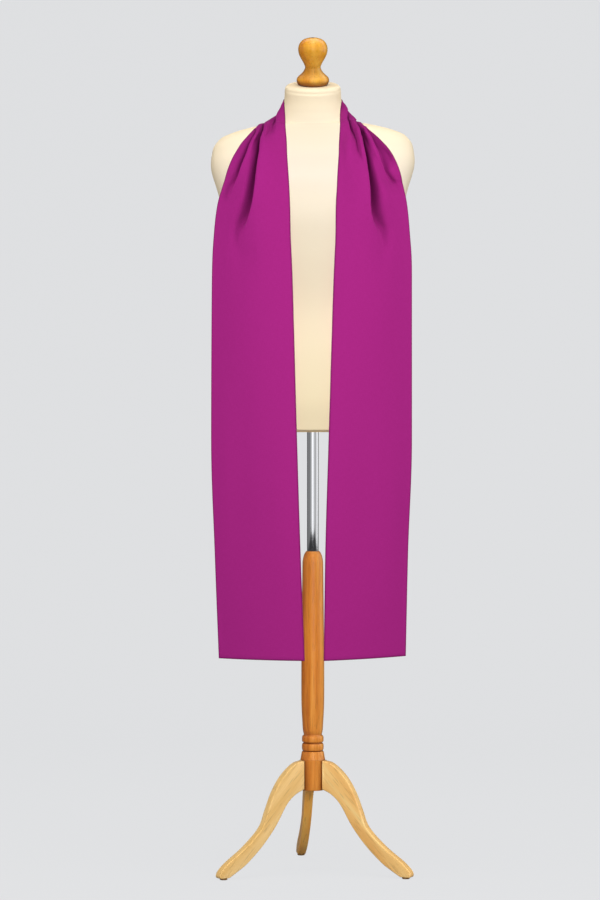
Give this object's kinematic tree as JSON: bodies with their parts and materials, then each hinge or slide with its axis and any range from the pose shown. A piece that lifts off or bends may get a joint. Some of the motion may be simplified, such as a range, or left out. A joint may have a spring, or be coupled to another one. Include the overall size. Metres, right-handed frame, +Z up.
{
  "type": "tippet on a dress form and tripod stand",
  "caption": "Long pleated tippet worn open round the neck of a limbless dress form, on a chromed pole, a turned wooden column and a wooden tripod.",
  "frame": {"origin": "on the floor, under the middle of the whole box", "axes": "+Z up along the pole; -Y the way the form faces; +X to the right of someone who looks at its front"},
  "size_m": [0.4074, 0.3451, 1.6681],
  "materials": {
    "tippet_cloth": "fine plain weave, nearly matt",
    "form_cloth": "smooth knitted cover",
    "finial_wood": "clear gloss varnish",
    "column_wood": "clear gloss varnish",
    "leg_wood": "clear satin varnish",
    "chrome": "polished",
    "pad": "matt"
  },
  "bodies": {
    "stand": {"column": "column_wood", "leg_right": "leg_wood", "leg_left": "leg_wood", "leg_back": "leg_wood", "glide_right": "pad", "glide_left": "pad", "glide_back": "pad"},
    "pole": {"pole": "chrome"},
    "form": {"form_torso": "form_cloth", "finial": "finial_wood", "tippet_left": "tippet_cloth", "tippet_right": "tippet_cloth"}
  },
  "joints": [
    {"name": "height", "type": "slide", "parent": "stand", "child": "pole", "axis": [0, 0, 1], "range_m": [-0.15, 0.15]},
    {"name": "turn", "type": "hinge", "parent": "pole", "child": "form", "pos_m": [0, -0.048, 0.95], "axis": [0, 0, 1], "continuous": true}
  ]
}
